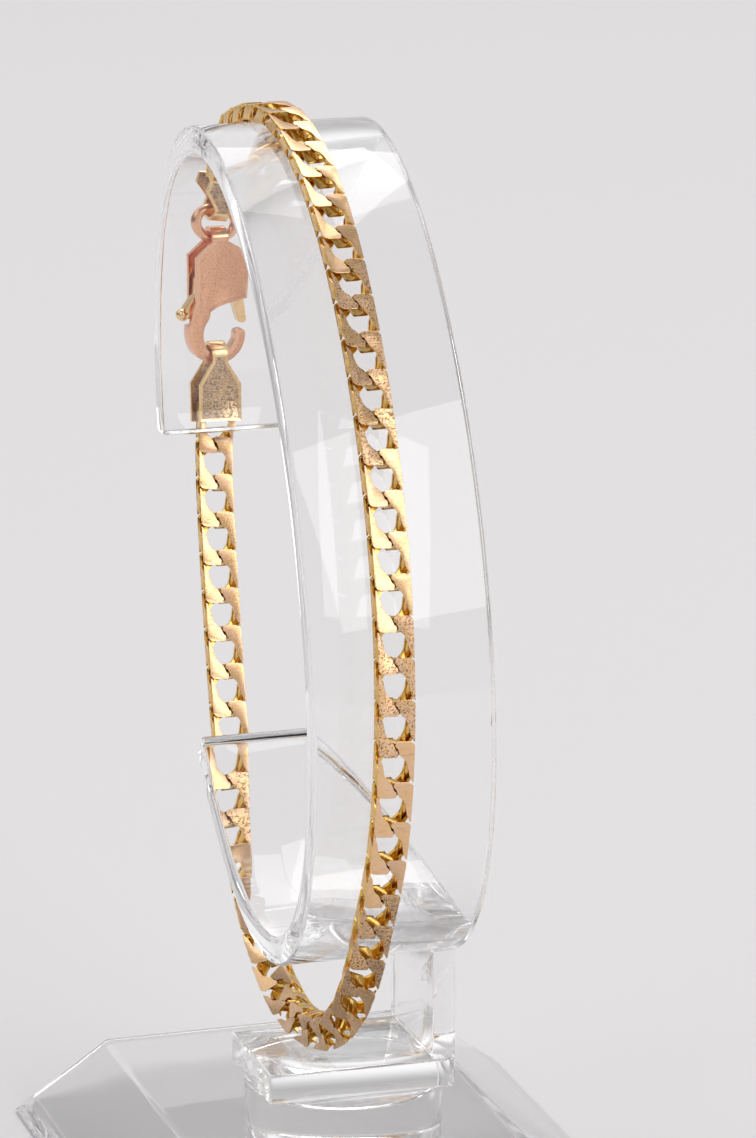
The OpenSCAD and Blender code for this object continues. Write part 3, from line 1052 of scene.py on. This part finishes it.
@dataclass(frozen=True)
class AcrylicStand:
    """The clear band, post, plate, disc and riser."""

    pieces: tuple[tuple[str, str], ...] = (
        ("display_band", "clear_band"), ("stand_post", "clear_post"), ("stand_plate", "clear_plate"),
        ("stand_disc", "clear_disc"), ("riser", "clear_riser"))
    edge_round: float = 0.22
    edge_steps: int = 3
    air_gap: float = 0.03

    def shrink(self, node: str) -> Matrix:
        """The matrix that makes a piece smaller by the air gap, about its middle.

        Args:
            node: The piece's node.

        Returns:
            The matrix.
        """
        low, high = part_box(node)
        middle = (low + high) / 2
        smaller = Matrix.Diagonal([1 - self.air_gap * MM / (b - a) for a, b in zip(low, high)]).to_4x4()
        return Matrix.Translation(middle) @ smaller @ Matrix.Translation(-middle)

    def build(self, nodes: dict[str, bpy.types.Object], material: bpy.types.Material) -> None:
        """Makes the stand's pieces.

        Args:
            nodes: The frame's nodes.
            material: The clear acrylic.
        """
        for node, name in self.pieces:
            mesh = softened_copy(nodes[node], name, self.edge_round, self.edge_steps)
            mesh.transform(self.shrink(node))
            new_piece(name, mesh, material, Slot.ACRYLIC, Body.WHOLE, node)


@dataclass(frozen=True)
class SoftLight:
    """A soft rectangular light that faces the object.

    Its azimuth is in degrees from the front towards +X, its elevation in degrees above level, its distance
    and size in metres, and its power in watts.
    """

    name: str
    azimuth: float
    elevation: float
    distance: float
    size: tuple[float, float]
    power: float
    colour: tuple[float, float, float] = (1.0, 1.0, 1.0)

    def build(self, aim: Vector) -> None:
        """Adds the light.

        Args:
            aim: The point that it faces.
        """
        data = bpy.data.lights.new(self.name, "AREA")
        data.shape = "RECTANGLE"
        data.size, data.size_y = self.size
        data.energy = self.power
        data.color = self.colour
        light = bpy.data.objects.new(self.name, data)
        az, el = math.radians(self.azimuth), math.radians(self.elevation)
        way = Vector((math.sin(az) * math.cos(el), -math.cos(az) * math.cos(el), math.sin(el)))
        light.location = aim + self.distance * way
        light.rotation_euler = (aim - light.location).to_track_quat("-Z", "Y").to_euler()
        bpy.context.scene.collection.objects.link(light)


@dataclass(frozen=True)
class Studio:
    """The camera, the pale floor, the soft lights and the room."""

    camera_at: tuple[float, float, float] = (-0.1099, -0.3607, 0.1481)
    aim: tuple[float, float, float] = (0.00329, 0.005, 0.04761)
    lens: float = 113.07
    sensor: float = 24.0
    clip_start: float = 0.01
    floor_radius: float = 4.0
    floor_sides: int = 96
    floor_drop: float = 0.0002
    floor_rough: float = 0.9
    floor_shine: float = 0.1
    floor_colour: tuple[float, float, float, float] = (0.795, 0.781, 0.789, 1.0)
    lights: tuple[SoftLight, ...] = (
        SoftLight("key_softbox", azimuth=24, elevation=28, distance=1.2, size=(0.8, 0.7), power=4.5,
                  colour=(1.0, 0.985, 0.96)),
        SoftLight("left_softbox", azimuth=-70, elevation=34, distance=1.2, size=(0.22, 0.5), power=0.9),
        SoftLight("top_softbox", azimuth=160, elevation=65, distance=1.4, size=(0.9, 0.9), power=6.0))
    room_stops: tuple[tuple[float, float], ...] = (
        (0.0, 0.6), (0.5, 0.6), (0.6, 0.5), (0.75, 0.42), (0.88, 0.3), (1.0, 0.42))
    room_tint: tuple[float, float] = (0.985, 0.98)
    behind_depth: tuple[float, float] = (-0.1, 0.5)
    behind_height: tuple[float, float] = (0.25, 0.55)
    behind_colour: tuple[float, float, float, float] = (1.0, 1.0, 1.01, 1.0)
    left_across: tuple[float, float] = (-0.35, -0.8)
    left_height: tuple[float, float] = (0.6, 0.2)
    left_colour: tuple[float, float, float, float] = (0.22, 0.215, 0.21, 1.0)
    bounces: int = 32

    def camera(self) -> None:
        """Sets the camera at the photograph's angle."""
        data = bpy.data.cameras.new("camera")
        data.sensor_fit = "VERTICAL"
        data.sensor_height = self.sensor
        data.lens = self.lens
        data.clip_start = self.clip_start
        camera = bpy.data.objects.new("camera", data)
        place = Vector(self.camera_at)
        camera.location = place
        camera.rotation_euler = (Vector(self.aim) - place).to_track_quat("-Z", "Y").to_euler()
        bpy.context.scene.collection.objects.link(camera)
        bpy.context.scene.camera = camera

    def floor(self) -> None:
        """Makes the plain floor."""
        bm = bmesh.new()
        bmesh.ops.create_circle(bm, cap_ends=True, segments=self.floor_sides, radius=self.floor_radius)
        bmesh.ops.translate(bm, verts=bm.verts, vec=(0, 0, -self.floor_drop))
        mesh = bpy.data.meshes.new("floor")
        bm.to_mesh(mesh)
        bm.free()
        material = bpy.data.materials.new("plain_floor")
        material.use_nodes = True
        shader = material.node_tree.nodes["Principled BSDF"]
        shader.inputs["Base Color"].default_value = self.floor_colour
        shader.inputs["Roughness"].default_value = self.floor_rough
        shader.inputs["Specular IOR Level"].default_value = self.floor_shine
        mesh.materials.append(material)
        floor = bpy.data.objects.new("floor", mesh)
        bpy.context.scene.collection.objects.link(floor)

    def world(self) -> None:
        """Makes the plain room: dim in front, where the metal's reflections fall, and bright behind."""
        world = bpy.data.worlds.new("room")
        bpy.context.scene.world = world
        world.use_nodes = True
        n = Nodes(world.node_tree)
        background = world.node_tree.nodes["Background"]
        parts = n.add("ShaderNodeSeparateXYZ")
        n.join(n.add("ShaderNodeTexCoord").outputs["Generated"], parts.inputs[0])
        across, depth, up = parts.outputs
        ramp = n.add("ShaderNodeValToRGB")
        # The height of a direction runs from -1 to 1, and the ramp from 0 to 1
        n.join(n.math("MULTIPLY_ADD", up, 0.5, 0.5), ramp.inputs[0])
        stops = ramp.color_ramp.elements
        while len(stops) < len(self.room_stops):
            stops.new(0.5)
        green, blue = self.room_tint
        for element, (position, value) in zip(stops, self.room_stops):
            element.position = position
            element.color = (value, value * green, value * blue, 1)
        behind = n.math("MULTIPLY", n.span(depth, *self.behind_depth), n.span(up, *self.behind_height))
        left = n.math("MULTIPLY", n.span(across, *self.left_across), n.span(up, *self.left_height))
        room = n.mix(left, ramp.outputs[0], self.left_colour)
        n.join(n.mix(behind, room, self.behind_colour), background.inputs["Color"])
        background.inputs["Strength"].default_value = 1.0

    def build(self) -> None:
        """Makes the whole studio."""
        self.camera()
        self.floor()
        self.world()
        for light in self.lights:
            light.build(Vector(self.aim))
        scene = bpy.context.scene
        scene.view_settings.view_transform = "Standard"
        scene.view_settings.look = "None"
        scene.cycles.max_bounces = self.bounces
        scene.cycles.transmission_bounces = self.bounces
        scene.cycles.glossy_bounces = self.bounces
        scene.cycles.caustics_reflective = True
        scene.cycles.caustics_refractive = True


def main() -> None:
    """Builds the dressed bracelet and its studio."""
    logging.basicConfig(level=logging.INFO, format="%(name)s: %(message)s")
    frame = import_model()
    nodes = frame["nodes"]
    groups = SharedGroups()
    Studio().build()
    chain_gold = GoldFinish(
        "worn_yellow_gold", polished=(0.84, 0.53, 0.13, 1), rubbed=(0.86, 0.57, 0.37, 1),
        dark=(0.16, 0.08, 0.03, 1), polish_rough=0.16, rubbed_rough=0.3, scratch_amount=0.5,
        scratch_depth=0.012, pit_amount=1.0).build(groups)
    tab_gold = GoldFinish(
        "scratched_tab_gold", polished=(0.95, 0.68, 0.36, 1), rubbed=(0.62, 0.43, 0.28, 1),
        dark=(0.12, 0.08, 0.045, 1), polish_rough=0.16, rubbed_rough=0.26, scratch_amount=1.0,
        scratch_depth=0.03, pit_amount=0.8).build(groups)
    rose_gold = GoldFinish(
        "brushed_rose_gold", polished=(0.88, 0.50, 0.32, 1), rubbed=(0.95, 0.52, 0.31, 1),
        dark=(0.30, 0.17, 0.12, 1), polish_rough=0.18, rubbed_rough=0.3, scratch_amount=0.45,
        scratch_depth=0.01, pit_amount=0.4).build(groups)
    lever_gold = GoldFinish(
        "yellowed_lever_gold", polished=(0.90, 0.62, 0.32, 1), rubbed=(0.82, 0.52, 0.30, 1),
        dark=(0.25, 0.14, 0.08, 1), polish_rough=0.18, rubbed_rough=0.3, scratch_amount=0.4,
        scratch_depth=0.01, pit_amount=0.4).build(groups)
    acrylic = AcrylicFinish("clear_acrylic").build(groups)
    CurbChain(Route()).build(chain_gold)
    MetalEnds().build(nodes, tab_gold, rose_gold, lever_gold)
    AcrylicStand().build(nodes, acrylic)


if __name__ == "__main__":
    main()
